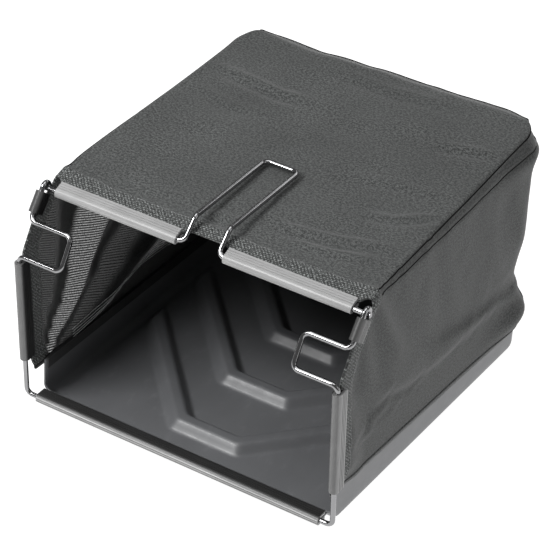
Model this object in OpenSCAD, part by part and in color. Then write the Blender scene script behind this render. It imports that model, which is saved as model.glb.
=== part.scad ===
// Grass catcher of a hand reel mower: a moulded tray, a bent wire mouth frame,
// a cloth bag clipped to the frame by extruded plastic profiles, and a swinging
// wire handle. Millimetres, +Z up, mouth towards -Y.
// Origin: on the tray's flat underside, on the centre line, near its middle.

/* [Wire frame] */
// Diameter of the steel wire
wire_d = 6; // [5:0.5:7]
// Width of the mouth, between the two posts' wire centres
frame_w = 410; // [380:5:440]
// Inner bend radius, to the wire's centre
bend_r = 8; // [7:0.5:9]
// Height of the bottom rail above the ground
rail_z = 18.5; // [17:0.5:20]
// Height at which each post turns into its side loop
loop_low_z = 215; // [205:1:220]
// How far the post leans forwards at the side loop
loop_low_lean = 14; // [8:1:16]
// Height of the side loop's upper run
loop_high_z = 250.5; // [246:0.5:256]
// How far back the side loop's upper run stands
loop_high_back = 6.5; // [4:0.5:9]
// How far each side loop reaches inwards
loop_l = 56; // [48:1:62]
// Height of the top rail
top_rail_z = 279.5; // [276:0.5:283]
// How far the top rail stands behind the bottom rail
top_rail_back = 35; // [32:1:38]

/* [Handle] */
// Width of the handle, between wire centres
handle_w = 43.5; // [40:0.5:48]
// Rise of the handle above the top rail
handle_rise = 22.5; // [21:0.5:26]
// Length of the handle, back from the top rail
handle_reach = 163; // [140:1:170]

/* [Clip profiles] */
// Thickness of a clip profile
clip_t = 12; // [11:0.5:13]
// Depth of a clip profile behind the wire's centre
clip_depth = 11; // [9:0.5:13]
// Width of the slot that takes the hem
clip_slot = 4; // [3:0.5:4.5]
// Length of each side's lower profile
lower_clip_l = 137; // [120:1:140]
// Length of each side's upper profile
upper_clip_l = 25; // [20:1:26]
// Gap between the two top profiles
top_clip_gap = 61; // [58:1:70]
// Outer ends of the top profiles, from the centre line
top_clip_end = 189; // [180:1:192]
// Upward tilt of the top profiles
top_clip_tilt = 20; // [15:1:22]

/* [Tray] */
// Half width of the tray at its front
tray_front_half = 195; // [190:1:196]
// Half width of the tray at its back
tray_back_half = 202.5; // [198:0.5:202.5]
// Thickness of the tray's moulding
tray_t = 2.5; // [2:0.1:3]
// Height of the side walls at the front
wall_front_h = 58; // [50:1:62]
// Height of the walls at the back
wall_back_h = 45; // [38:1:50]
// Height of the floor ribs above the floor's top
rib_h = 12; // [8:1:14]
// Width of a floor rib at its foot
rib_w = 34; // [28:1:38]
// Half length of each rib's middle stretch
rib_half = 46; // [40:1:52]
// Angle of the ribs' arms from the tray's length
rib_angle = 42; // [38:1:46]
// Distance from one rib to the next
rib_pitch = 106; // [100:1:110]

/* [Bag] */
// Thickness of the cloth panels
cloth_t = 1.5; // [1:0.1:2]
// Thickness of the hems held in the clip profiles
hem_t = 3.6; // [2.6:0.1:3.8]
// Width of hem that shows behind a clip profile
hem_band = 22; // [16:1:26]
// Height of the bag's top at the back
bag_back_z = 304; // [296:1:310]
// Diameter of the rolled seams
seam_d = 3.6; // [3:0.2:4]
// Height of the binding round the bag's lower edge
binding_h = 15; // [10:1:18]

/* [Hidden] */
$fn = 32;

plastic_dark = [0.20, 0.21, 0.21];
plastic_grey = [0.55, 0.56, 0.57];
steel_dark = [0.30, 0.30, 0.31];
cloth_grey = [0.30, 0.32, 0.31];
hem_grey = [0.22, 0.23, 0.23];

wire_r = wire_d / 2;
post_x = frame_w / 2;
fit = 0.08;           // radial running clearance round the wire
gap = 0.2;            // clearance between pieces that lie side by side

// Side view of the frame: every y is measured from the bottom rail's.
rail_y = -240;
low_y = rail_y - loop_low_lean;
high_y = rail_y + loop_high_back;
top_y = rail_y + top_rail_back;
hook_r = 2 * wire_r + fit;     // wire centre to the top rail's centre
hook_turn = 195;

// The upper post runs from the loop's upper run up to its hook, which passes
// over the top rail's end and down behind it.
to_rail = [top_y - high_y, top_rail_z - loop_high_z];
rail_distance = norm(to_rail);
post_angle = atan2(to_rail[1], to_rail[0]) + asin(hook_r / rail_distance);
post_len = sqrt(pow(rail_distance, 2) - pow(hook_r, 2));

// Lean of the lower posts from the vertical.
lower_lean = atan2(loop_low_lean, loop_low_z - rail_z);
lower_len = norm([loop_low_lean, loop_low_z - rail_z]);

// Tray plan.
tray_front_y = -206;
tray_back_y = 212;
corner_r = 28;
lip_y = rail_y + wire_r + 2;
lip_end = 189;
ramp_y = -222;
wall_front_y = rail_y + 18;
rib_front_y = -185;
rib_count = 3;
rib_rise = 7;         // run of a rib's front slope
rib_fall = 13;        // run of its back slope

// Bag planes.
panel_x = 203;
bag_back_y = 215;
bag_front_z = top_rail_z + (clip_depth + hem_band) * sin(top_clip_tilt);
bag_front_y = top_y + (clip_depth + hem_band) * cos(top_clip_tilt);
cloth_low_front = 50;
cloth_low_back = 32;
wall_slope = (wall_front_h - wall_back_h) / (tray_back_y - wall_front_y);
cloth_slope = (cloth_low_front - cloth_low_back) / (bag_back_y - wall_front_y);

// ---------------------------------------------------------------- helpers

function unit(v) = v / norm(v);

// How far before a corner its bend starts.
function setback(a, b, r) = r * tan(acos(a * b) / 2);

// Direction of the path's leg i.
function leg(path, i) = unit(path[i + 1] - path[i]);

// Setback at the path's point i, none at its two ends.
function trim(path, i, r) =
    (i == 0 || i == len(path) - 1) ? 0 : setback(leg(path, i - 1), leg(path, i), r);

// A straight length of wire between two points.
module straight(p, q) {
    d = unit(q - p);
    translate(p)
        rotate([0, acos(d[2]), atan2(d[1], d[0])])
            cylinder(h = norm(q - p), r = wire_r);
}

// A bend that starts at s, leaves along a, and turns towards n. It is a hair
// thinner than the straight lengths, and its ends reach just into them.
module bend(s, a, n, r, turn) {
    lap = 2;
    c = s + n * r;
    z = cross(-n, a);
    multmatrix([
        [-n[0], a[0], z[0], c[0]],
        [-n[1], a[1], z[1], c[1]],
        [-n[2], a[2], z[2], c[2]]
    ])
        rotate([0, 0, -lap])
            rotate_extrude(angle = turn + 2 * lap)
                translate([r, 0])
                    circle(r = wire_r - 0.04);
}

// Wire bent along a path, with the same bend radius at each corner.
module bent_wire(path) {
    last = len(path) - 1;
    for (i = [0 : last - 1]) {
        d = leg(path, i);
        straight(path[i] + d * trim(path, i, bend_r),
                 path[i + 1] - d * trim(path, i + 1, bend_r));
    }
    for (i = [1 : last - 1]) {
        a = leg(path, i - 1);
        b = leg(path, i);
        bend(path[i] - a * trim(path, i, bend_r), a, unit(b - a * (a * b)), bend_r, acos(a * b));
    }
}

// A copy of the children on the other side of the centre line.
module mirrored() {
    mirror([1, 0, 0])
        children();
}

// Section of a clip profile: nose towards -X round the wire, slot towards +X.
module clip_section() {
    groove = 0.5;
    difference() {
        union() {
            circle(r = clip_t / 2);
            translate([0, -clip_t / 2])
                square([clip_depth, clip_t]);
        }
        circle(r = wire_r + fit);
        translate([0, -clip_slot / 2])
            square([clip_depth + 1, clip_slot]);
        for (side = [-1, 1], k = [0 : 2])
            translate([1.5 + 3 * k, side * clip_t / 2])
                square([1, 2 * groove], center = true);
    }
}

// A straight clip profile from the origin up +Z.
module clip(length) {
    linear_extrude(length)
        clip_section();
}

// A plate whose outline lies in the Y-Z plane, from x = x0 to x = x0 + t.
module side_plate(points, x0, t) {
    translate([x0, 0, 0])
        rotate([90, 0, 90])
            linear_extrude(t)
                polygon(points);
}

// ------------------------------------------------------------------- wire

loop_x = post_x - loop_l;

// A path and its mirror image, end to end.
function both_sides(path) =
    concat([for (i = [len(path) - 1 : -1 : 0]) [-path[i][0], path[i][1], path[i][2]]], path);

// Corners of the frame wire's right side, from the bottom up.
side_path = [
    [post_x, rail_y, rail_z],
    [post_x, low_y, loop_low_z],
    [loop_x, low_y, loop_low_z],
    [loop_x, high_y, loop_high_z],
    [post_x, high_y, loop_high_z],
    [post_x, high_y + post_len * cos(post_angle), loop_high_z + post_len * sin(post_angle)]
];

// Hook at the top of the right post, over the top rail.
module hook() {
    along = [0, cos(post_angle), sin(post_angle)];
    across = [0, sin(post_angle), -cos(post_angle)];
    bend(side_path[len(side_path) - 1], along, across, hook_r, hook_turn);
}

module frame_wire() {
    color(steel_dark) {
        bent_wire(both_sides(side_path));
        hook();
        mirrored()
            hook();
    }
}

rail_end = post_x + wire_r + 2;
handle_x = handle_w / 2;
handle_y = top_y + handle_reach;
handle_z = top_rail_z + handle_rise;
riser_run = handle_rise * 0.95;

// Corners of the handle wire's right half, from its far end to the post's hook.
handle_path = [
    [handle_x, handle_y, handle_z],
    [handle_x, top_y + riser_run, handle_z],
    [handle_x, top_y, top_rail_z],
    [rail_end, top_y, top_rail_z]
];

module handle_wire() {
    color(steel_dark)
        bent_wire(both_sides(handle_path));
}

// --------------------------------------------------------------- profiles

module lower_profile() {
    from_top = lower_len - bend_r - 1;
    translate([post_x, rail_y, rail_z])
        rotate([lower_lean, 0, 0])
            translate([0, 0, from_top - lower_clip_l])
                rotate([0, 0, 90])
                    clip(lower_clip_l);
}

module upper_profile() {
    from_top = post_len - wire_r - 2.5;
    translate([post_x, high_y, loop_high_z])
        rotate([post_angle - 90, 0, 0])
            translate([0, 0, from_top - upper_clip_l])
                rotate([0, 0, 90])
                    clip(upper_clip_l);
}

module top_profile() {
    translate([top_clip_gap / 2, top_y, top_rail_z])
        rotate([top_clip_tilt, 0, 0])
            rotate([90, 0, 90])
                clip(top_clip_end - top_clip_gap / 2);
}

module right_lower_profile() {
    color(plastic_grey)
        lower_profile();
}

module left_lower_profile() {
    color(plastic_grey)
        mirrored()
            lower_profile();
}

module right_upper_profile() {
    color(plastic_grey)
        upper_profile();
}

module left_upper_profile() {
    color(plastic_grey)
        mirrored()
            upper_profile();
}

module right_top_profile() {
    color(plastic_grey)
        top_profile();
}

module left_top_profile() {
    color(plastic_grey)
        mirrored()
            top_profile();
}

module bottom_profile() {
    color(plastic_grey)
        translate([-lip_end, rail_y, rail_z])
            rotate([90, 0, 90])
                clip(2 * lip_end);
}

// ------------------------------------------------------------------- tray

function arc_points(cx, cy, r, from, to, steps) =
    [for (i = [0 : steps]) let (a = from + (to - from) * i / steps) [cx + r * cos(a), cy + r * sin(a)]];

// Tray's plan, brought in by inset: a trapezium with round back corners.
function tray_plan(inset, front) =
    let (
        back = tray_back_y - inset,
        half_front = tray_front_half - inset,
        half_back = tray_back_half - inset,
        r = corner_r - inset,
        right = arc_points(half_back - r, back - r, r, 0, 90, 8),
        left = arc_points(r - half_back, back - r, r, 90, 180, 8)
    )
    concat([[half_front, front]], right, left, [[-half_front, front]]);

// A rib's line from the left wall to the right, d behind its front foot and
// square to it. The arms run on past the walls.
function rib_line(front, d) =
    let (
        half = rib_half - d * tan((90 - rib_angle) / 2),
        arm = tray_back_y - rib_front_y,
        out = half + arm * tan(rib_angle)
    )
    [
        [-out, front + d + arm],
        [-half, front + d],
        [half, front + d],
        [out, front + d + arm]
    ];

// A rib as a solid with sloping sides: section points give depth and height.
module rib(front, thin) {
    slant = 0.6;
    section = [
        [thin, 0],
        [rib_rise + thin * slant, rib_h - thin],
        [rib_w - rib_fall - thin * slant, rib_h - thin],
        [rib_w - thin, 0]
    ];
    lines = [for (p = section) rib_line(front, p[0])];
    points = [for (k = [0 : 3], i = [0 : 3]) [lines[k][i][0], lines[k][i][1], section[k][1]]];
    faces = concat(
        [for (i = [0 : 2]) [i, i + 1, 12 + i + 1, 12 + i]],
        [for (k = [0 : 2], i = [0 : 2]) [4 * k + i, 4 * k + 4 + i, 4 * k + 5 + i, 4 * k + 1 + i]],
        [[0, 12, 8, 4], [3, 7, 11, 15]]
    );
    polyhedron(points, faces);
}

module ribs(thin) {
    for (k = [0 : rib_count - 1])
        rib(rib_front_y + k * rib_pitch, thin);
}

// Everything below a plane that falls from the front to the back.
module below_slope(front_z, slope) {
    rotate([90, 0, 90])
        linear_extrude(600, center = true)
            polygon([[wall_front_y - 40, -1], [wall_front_y - 40, front_z + slope * 40],
                     [tray_back_y + 20, front_z - slope * (tray_back_y + 20 - wall_front_y)],
                     [tray_back_y + 20, -1]]);
}

module tray_shell() {
    difference() {
        linear_extrude(wall_front_h + 20)
            polygon(tray_plan(0, wall_front_y));
        translate([0, 0, tray_t])
            linear_extrude(wall_front_h + 20)
                polygon(tray_plan(tray_t, wall_front_y - 5));
        translate([-lip_end - 20, wall_front_y - 5, -1])
            cube([2 * lip_end + 40, tray_front_y - wall_front_y + 5, 2 * tray_t]);
    }
}

// Front lip: a ramp up from the floor and a flange held in the bottom profile.
module front_lip() {
    flange = 1.7;
    ramp_half = tray_front_half - 1;
    side_plate([
        [tray_front_y, 0], [tray_front_y, tray_t],
        [ramp_y, rail_z + flange], [ramp_y - 1, rail_z - flange],
        [tray_front_y - 4, 0]
    ], -ramp_half, 2 * ramp_half);
    translate([-lip_end, lip_y, rail_z - flange])
        cube([2 * lip_end, ramp_y - lip_y, 2 * flange]);
}

module tray() {
    color(plastic_dark) {
        difference() {
            intersection() {
                union() {
                    tray_shell();
                    intersection() {
                        translate([0, 0, tray_t])
                            ribs(0);
                        linear_extrude(wall_back_h)
                            polygon(tray_plan(tray_t / 2, tray_front_y));
                    }
                }
                below_slope(wall_front_h, wall_slope);
            }
            intersection() {
                translate([0, 0, -0.01])
                    ribs(tray_t);
                linear_extrude(wall_back_h, center = true)
                    polygon(tray_plan(tray_t, tray_front_y));
            }
        }
        front_lip();
    }
}

// -------------------------------------------------------------------- bag

// Point d behind a post's wire centre, s up the lower or the upper post.
function lower_point(s, d) =
    [rail_y - s * sin(lower_lean) + d * cos(lower_lean), rail_z + s * cos(lower_lean) + d * sin(lower_lean)];
function upper_point(s, d) =
    [high_y + s * cos(post_angle) + d * sin(post_angle), loop_high_z + s * sin(post_angle) - d * cos(post_angle)];

hem_in = wire_r + 1;
hem_out = clip_depth + hem_band;
hem_foot = 46;

// Outline of a side hem: front edge up the post, back edge down again.
side_hem_outline = [
    lower_point(hem_foot, hem_in), lower_point(lower_len, hem_in),
    upper_point(2, hem_in), upper_point(post_len - 2, hem_in),
    [bag_front_y - 4, bag_front_z - 4],
    upper_point(4, hem_out), lower_point(lower_len - 8, hem_out),
    lower_point(hem_foot - 13, hem_out)
];

// Outline of a side panel, behind the side hem.
side_panel_outline = [
    lower_point(hem_foot - 13.2, hem_out + gap), lower_point(lower_len - 8, hem_out + gap),
    upper_point(4, hem_out + gap), [bag_front_y - 4 + gap, bag_front_z - 4],
    [bag_back_y - seam_d, bag_back_z - seam_d],
    [bag_back_y - seam_d, cloth_low_back]
];

// The side hem is cut away round the post's hook.
module side_hem() {
    difference() {
        side_plate(side_hem_outline, post_x - hem_t / 2, hem_t);
        translate([post_x, top_y, top_rail_z])
            rotate([0, 90, 0])
                cylinder(h = clip_t, r = hook_r + wire_r + 1.2, center = true);
    }
}

module side_panel() {
    side_plate(side_panel_outline, panel_x, cloth_t);
}

module right_hem() {
    color(hem_grey)
        side_hem();
}

module left_hem() {
    color(hem_grey)
        mirrored()
            side_hem();
}

// The top hem lies in the top profiles' slots, and stands back between them.
module top_hem() {
    color(hem_grey)
        translate([0, top_y, top_rail_z])
            rotate([top_clip_tilt, 0, 0])
                translate([0, 0, -hem_t / 2])
                    linear_extrude(hem_t)
                        difference() {
                            translate([-top_clip_end, hem_in])
                                square([2 * top_clip_end, hem_out - hem_in]);
                            translate([-top_clip_gap / 2, 0])
                                square([top_clip_gap, clip_depth + 3]);
                        }
}

module bag_right() {
    color(cloth_grey)
        side_panel();
}

module bag_left() {
    color(cloth_grey)
        mirrored()
            side_panel();
}

module bag_top() {
    half = panel_x - 2;
    color(cloth_grey)
        side_plate([
            [bag_front_y + 1, bag_front_z],
            [bag_front_y + 1, bag_front_z + cloth_t],
            [bag_back_y - seam_d, bag_back_z + cloth_t],
            [bag_back_y - seam_d, bag_back_z]
        ], -half, 2 * half);
}

module bag_back() {
    half = panel_x - 2;
    color(cloth_grey)
        translate([-half, bag_back_y - cloth_t, cloth_low_back])
            cube([2 * half, cloth_t, bag_back_z - seam_d - cloth_low_back]);
}

// A rolled seam between two points.
module seam(p, q) {
    d = unit(q - p);
    color(cloth_grey)
        translate(p)
            rotate([0, acos(d[2]), atan2(d[1], d[0])])
                cylinder(h = norm(q - p), d = seam_d);
}

seam_x = panel_x + cloth_t / 2;
seam_front = [seam_x, bag_front_y, bag_front_z];
seam_back = [seam_x, bag_back_y, bag_back_z - gap];

module right_top_seam() {
    seam(seam_front, seam_back - [0, seam_d / 2 + gap, 0]);
}

module left_top_seam() {
    mirrored()
        right_top_seam();
}

module back_top_seam() {
    half = seam_x;
    seam([-half, bag_back_y, bag_back_z], [half, bag_back_y, bag_back_z]);
}

module right_back_seam() {
    seam([seam_x, bag_back_y, cloth_low_back], [seam_x, bag_back_y, bag_back_z - seam_d / 2 - gap]);
}

module left_back_seam() {
    mirrored()
        right_back_seam();
}

// Binding round the bag's lower edge, outside the cloth.
module side_binding() {
    start = 21;
    front = wall_front_y + start;
    back = bag_back_y - seam_d;
    low = cloth_low_front - cloth_slope * start;
    color(hem_grey)
        side_plate([
            [front, low], [front, low + binding_h],
            [back, cloth_low_back + binding_h], [back, cloth_low_back]
        ], panel_x + cloth_t + gap / 2, 1);
}

module right_binding() {
    side_binding();
}

module left_binding() {
    mirrored()
        side_binding();
}

module back_binding() {
    half = panel_x - 2;
    color(hem_grey)
        translate([-half, bag_back_y + gap / 2, cloth_low_back])
            cube([2 * half, 1, binding_h]);
}

// Edge strips that pinch the cloth's foot over the top of the tray's walls.
strip_h = 12;
strip_t = 1.6;
strip_top = 1.8;      // how far the strips stand above the walls

module wall_strip_ring() {
    intersection() {
        difference() {
            linear_extrude(wall_front_h + 10)
                polygon(tray_plan(0, wall_front_y));
            translate([0, 0, -1])
                linear_extrude(wall_front_h + 12)
                    polygon(tray_plan(tray_t + strip_t, wall_front_y - 5));
            wall_solid();
        }
        difference() {
            below_slope(wall_front_h + strip_top, wall_slope);
            below_slope(wall_front_h - strip_h, wall_slope);
        }
    }
}

// The tray's wall and a hair of clearance, cut away from the strips.
module wall_solid() {
    intersection() {
        difference() {
            translate([0, 0, -1])
                linear_extrude(wall_front_h + 12)
                    polygon(tray_plan(-5, wall_front_y - 1));
            translate([0, 0, -2])
                linear_extrude(wall_front_h + 14)
                    polygon(tray_plan(tray_t + gap / 2, wall_front_y - 5));
        }
        below_slope(wall_front_h + gap / 2, wall_slope);
    }
}

module strip_part(x0, x1, y0, y1) {
    color(plastic_grey)
        intersection() {
            wall_strip_ring();
            translate([x0, y0, 0])
                cube([x1 - x0, y1 - y0, wall_front_h + 20]);
        }
}

strip_back_y = tray_back_y - corner_r;

module right_wall_strip() {
    strip_part(100, 260, wall_front_y + 4, strip_back_y - gap);
}

module left_wall_strip() {
    mirrored()
        right_wall_strip();
}

module back_wall_strip() {
    strip_part(-260, 260, strip_back_y, bag_back_y);
}

tray();
bottom_profile();
frame_wire();
handle_wire();
left_lower_profile();
right_lower_profile();
left_upper_profile();
right_upper_profile();
left_top_profile();
right_top_profile();
top_hem();
left_hem();
right_hem();
bag_top();
bag_left();
bag_right();
bag_back();
left_top_seam();
right_top_seam();
back_top_seam();
left_back_seam();
right_back_seam();
left_binding();
right_binding();
back_binding();
left_wall_strip();
right_wall_strip();
back_wall_strip();
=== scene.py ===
"""Looks of a reel mower's grass catcher: a sewn cloth bag on a wire mouth frame over a ribbed tray."""
import math
import bpy
import bmesh
from mathutils import Matrix, Vector, noise


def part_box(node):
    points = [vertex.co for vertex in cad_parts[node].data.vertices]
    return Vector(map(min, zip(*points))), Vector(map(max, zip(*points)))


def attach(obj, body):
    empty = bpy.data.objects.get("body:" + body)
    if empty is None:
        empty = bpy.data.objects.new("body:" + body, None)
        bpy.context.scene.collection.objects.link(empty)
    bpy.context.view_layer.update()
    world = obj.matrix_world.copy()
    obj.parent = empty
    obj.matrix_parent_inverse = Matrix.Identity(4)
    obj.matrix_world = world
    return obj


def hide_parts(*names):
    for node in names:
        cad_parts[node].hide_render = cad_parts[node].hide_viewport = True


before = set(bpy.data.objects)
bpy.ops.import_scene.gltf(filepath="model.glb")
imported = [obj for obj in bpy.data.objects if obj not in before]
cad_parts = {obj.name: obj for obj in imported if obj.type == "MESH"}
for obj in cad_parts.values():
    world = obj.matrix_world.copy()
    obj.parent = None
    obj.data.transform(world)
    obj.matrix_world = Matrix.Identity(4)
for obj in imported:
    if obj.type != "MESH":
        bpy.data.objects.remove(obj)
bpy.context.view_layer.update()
BODY = "catcher"
MM = 0.001

# ------------------------------------------------------------------ places, from the frame
tray_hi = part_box("tray")[1]
wire_lo, wire_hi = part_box("frame_wire")
handle_lo, handle_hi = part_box("handle_wire")
clip_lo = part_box("bottom_profile")[0]
top_clip_lo, top_clip_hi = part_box("right_top_profile")
back_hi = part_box("bag_back")[1]

WIRE_R = 3 * MM
RAIL_Y = clip_lo.y + 6 * MM                      # centre of the bottom rail
RAIL_Z = clip_lo.z + 6 * MM
POST_X = wire_hi.x - WIRE_R                      # centre of a post
TOP_Y = handle_lo.y + WIRE_R                     # centre of the top rail
TOP_Z = handle_lo.z + WIRE_R
HANDLE_Z = handle_hi.z - WIRE_R
HANDLE_END_Y = handle_hi.y - WIRE_R
LOOP_LOW = Vector((0, wire_lo.y + WIRE_R, 215 * MM))      # side loop's lower run, in the Y-Z plane
LOOP_HIGH = Vector((0, RAIL_Y + 6.5 * MM, 250.5 * MM))    # side loop's upper run
TOP_TILT = math.radians(20)
CLIP_END = top_clip_hi.x
CLIP_GAP = top_clip_lo.x
HEM_BACK = 33 * MM                               # a hem reaches this far behind its wire
HANDLE_X = 21.75 * MM

BAG_BACK = back_hi.y
BAG_HALF = 200 * MM                              # top seam, from the centre line
BAG_MIDDLE = Vector((0, 0, 150 * MM))
FOOT_GAP = 1.8 * MM                              # the cloth's foot, out from the tray's wall
FLOOR_Z = 2.5 * MM
TRAY_T = 2.5 * MM
TRAY_FRONT = -206 * MM
WALL_FRONT = RAIL_Y + 18 * MM
TRAY_BACK = tray_hi.y
TRAY_CORNER = 28 * MM                            # radius of the tray's back corners
HALF_FRONT = 195 * MM
HALF_BACK = tray_hi.x


# ------------------------------------------------------------------ small helpers
def mix(a, b, k):
    """From a at k = 0 to b at k = 1."""
    return a + (b - a) * k


def smooth(k):
    """From 0 to 1 with soft ends."""
    k = min(max(k, 0.0), 1.0)
    return k * k * (3 - 2 * k)


def bell(x, middle, width):
    """A soft hump of height 1 at the middle."""
    return math.exp(-((x - middle) / width) ** 2)


def knots(x, *pairs):
    """Straight-line interpolation through (x, value) pairs."""
    if x <= pairs[0][0]:
        return pairs[0][1]
    for (x0, v0), (x1, v1) in zip(pairs, pairs[1:]):
        if x <= x1:
            return mix(v0, v1, (x - x0) / (x1 - x0))
    return pairs[-1][1]


def spaced(start, end, count):
    """count equal steps from start to end, both ends included."""
    return [mix(start, end, k / count) for k in range(count + 1)]


def mesh_object(name, points, faces, plane=(0, 1)):
    """A smooth-shaded mesh with a UV map in metres, taken flat along two axes."""
    mesh = bpy.data.meshes.new(name)
    mesh.from_pydata([tuple(p) for p in points], [], faces)
    mesh.validate()
    uv = mesh.uv_layers.new(name="cut")
    for corner in mesh.loops:
        place = mesh.vertices[corner.vertex_index].co
        uv.data[corner.index].uv = (place[plane[0]], place[plane[1]])
    mesh.polygons.foreach_set("use_smooth", [True] * len(mesh.polygons))
    obj = bpy.data.objects.new(name, mesh)
    bpy.context.scene.collection.objects.link(obj)
    return obj


def modifier(obj, kind, **settings):
    """Adds a modifier with its settings."""
    made = obj.modifiers.new(kind.lower(), kind)
    for key, value in settings.items():
        setattr(made, key, value)
    return made


def finish_piece(obj, material, nodes=()):
    """Gives a new piece its material and body, and hides the CAD nodes that it stands for."""
    obj.data.materials.clear()
    obj.data.materials.append(material)
    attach(obj, BODY)
    if nodes:
        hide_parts(*nodes)
    return obj


def refine(points):
    """One Catmull-Clark step along an open line, as a subdivided panel's edge takes it."""
    out = [points[0]]
    for i, p in enumerate(points[:-1]):
        out.append((p + points[i + 1]) / 2)
        if i + 2 < len(points):
            out.append((p + points[i + 1] * 6 + points[i + 2]) / 8)
    out.append(points[-1])
    return out


def tube_rings(path, radius, sides=8):
    """Points and faces of a closed tube along a path."""
    points, faces = [], []
    across = None
    for i, p in enumerate(path):
        ahead = (path[min(i + 1, len(path) - 1)] - path[max(i - 1, 0)]).normalized()
        across = ahead.orthogonal() if across is None else across - ahead * across.dot(ahead)
        across.normalize()
        other = ahead.cross(across)
        for k in range(sides):
            a = 2 * math.pi * k / sides
            points.append(p + across * math.cos(a) * radius + other * math.sin(a) * radius)
    for i in range(len(path) - 1):
        for k in range(sides):
            n = (k + 1) % sides
            faces.append([i * sides + k, i * sides + n, (i + 1) * sides + n, (i + 1) * sides + k])
    faces.append(list(range(sides - 1, -1, -1)))
    faces.append([(len(path) - 1) * sides + k for k in range(sides)])
    return points, faces


def joined(parts):
    """Several (points, faces) pairs as one."""
    points, faces = [], []
    for some_points, some_faces in parts:
        base = len(points)
        points += some_points
        faces += [[base + v for v in f] for f in some_faces]
    return points, faces


# ------------------------------------------------------------------ materials
class Shader:
    """A Principled material whose colour, roughness and bump come from nodes."""

    def __init__(self, name, **values):
        self.material = bpy.data.materials.new(name)
        self.material.use_nodes = True
        self.tree = self.material.node_tree
        self.surface = self.tree.nodes["Principled BSDF"]
        for key, value in values.items():
            self.surface.inputs[key.replace("_", " ")].default_value = value

    def node(self, kind, *links, **settings):
        made = self.tree.nodes.new("ShaderNode" + kind)
        for key, value in settings.items():
            setattr(made, key, value)
        for k, link in enumerate(links):
            self.put(made.inputs[k], link)
        return made

    def put(self, socket, value):
        if hasattr(value, "links"):
            self.tree.links.new(value, socket)
        elif value is not None:
            socket.default_value = value

    def math(self, operation, a, b=None, c=None, clamp=False):
        return self.node("Math", a, b, c, operation=operation, use_clamp=clamp).outputs[0]

    def uv(self):
        return self.node("UVMap", uv_map="cut").outputs[0]

    def place(self):
        return self.node("TexCoord").outputs["Object"]

    def noise(self, coord, scale, detail=3.0, rough=0.55):
        made = self.node("TexNoise")
        self.put(made.inputs["Vector"], coord)
        self.put(made.inputs["Scale"], scale)
        self.put(made.inputs["Detail"], detail)
        self.put(made.inputs["Roughness"], rough)
        return made.outputs["Fac"]

    def stretched(self, coord, scale):
        made = self.node("Mapping")
        self.put(made.inputs["Vector"], coord)
        made.inputs["Scale"].default_value = scale
        return made.outputs[0]

    def ramp(self, fac, *stops):
        made = self.node("ValToRGB", fac)
        line = made.color_ramp.elements
        while len(line) < len(stops):
            line.new(0.5)
        for stop, (at, level) in zip(line, stops):
            stop.position = at
            stop.color = (*level, 1) if hasattr(level, "__len__") else (level, level, level, 1)
        return made.outputs[0]

    def blend(self, fac, a, b, kind="MIX"):
        made = self.node("Mix", data_type="RGBA", blend_type=kind)
        self.put(made.inputs[0], fac)
        self.put(made.inputs[6], a)
        self.put(made.inputs[7], b)
        return made.outputs[2]

    def wave(self, coord, direction, pitch):
        """Sine ridges of a pitch in metres along a direction in the UV plane, from 0 to 1."""
        along = self.node("VectorMath", coord, (*direction, 0), operation="DOT_PRODUCT").outputs["Value"]
        turn = self.math("MULTIPLY", along, 2 * math.pi / pitch)
        return self.math("MULTIPLY_ADD", self.math("SINE", turn), 0.5, 0.5)

    def bump(self, height, distance, strength=1.0):
        made = self.node("Bump")
        self.put(made.inputs["Height"], height)
        made.inputs["Distance"].default_value = distance
        made.inputs["Strength"].default_value = strength
        before = self.surface.inputs["Normal"].links
        if before:
            self.tree.links.new(before[0].from_socket, made.inputs["Normal"])
        self.tree.links.new(made.outputs[0], self.surface.inputs["Normal"])

    def set(self, name, value):
        self.put(self.surface.inputs[name], value)


def cloth_material(name, colour, pitch, sheer=0.0):
    """Coated woven cloth with a mottled grain. sheer is how much light its open weave lets through; a sheer
    cloth also gets painted shade where its 'closed' attribute is high.
    """
    s = Shader(name, Roughness=0.78, Specular_IOR_Level=0.32, Sheen_Weight=0.22, Sheen_Roughness=0.45)
    coord = s.uv()
    warp = s.wave(coord, (1, 0), pitch)
    weft = s.wave(coord, (0, 1), pitch)
    thread = s.math("MULTIPLY", warp, weft)
    slub = s.noise(s.stretched(coord, (620, 240, 1)), 1.0, 3.0, 0.7)
    fleck = s.noise(s.stretched(coord, (330, 440, 1)), 1.0, 2.0, 0.85)
    patch = s.noise(s.place(), 14.0, 3.0)
    dark = [c * 0.62 for c in colour]
    light = [c * 1.34 for c in colour]
    tone = s.ramp(thread, (0.0, dark), (1.0, light))
    tone = s.blend(0.45, tone, s.ramp(slub, (0.36, dark), (0.64, light)))
    moire = s.ramp(s.noise(s.stretched(s.place(), (9, 22, 9)), 1.0, 2.0), (0.4, 0.7), (0.62, 1.0))
    tone = s.blend(moire, tone, s.blend(1.0, tone, s.ramp(fleck, (0.43, 0.4), (0.57, 1.75)), "MULTIPLY"))
    tone = s.blend(1.0, tone, s.ramp(patch, (0.3, 0.88), (0.7, 1.1)), "MULTIPLY")
    s.set("Base Color", tone)
    s.set("Roughness", s.math("MULTIPLY_ADD", patch, 0.14, 0.68))
    s.bump(thread, pitch * 0.08, 0.5)
    s.bump(fleck, 0.12 * MM, 0.5)
    if sheer:
        rib = s.math("MULTIPLY", s.wave(coord, (0.31, 0.95), 3.0 * MM),
                     s.ramp(slub, (0.3, 0.45), (0.6, 1.0)))
        through = s.math("MULTIPLY_ADD", rib, -sheer, 1.0)
        # the 'closed' attribute sets the opacity, and below it darkens the base colour as painted shade in
        # the folds and under the arch
        fold = s.node("Attribute", attribute_name="closed").outputs["Fac"]
        s.set("Alpha", s.math("MAXIMUM", through, fold, clamp=True))
        s.set("Base Color", s.blend(1.0, tone, s.ramp(fold, (0.2, 1.0), (0.98, 0.2)), "MULTIPLY"))
    return s.material


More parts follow.
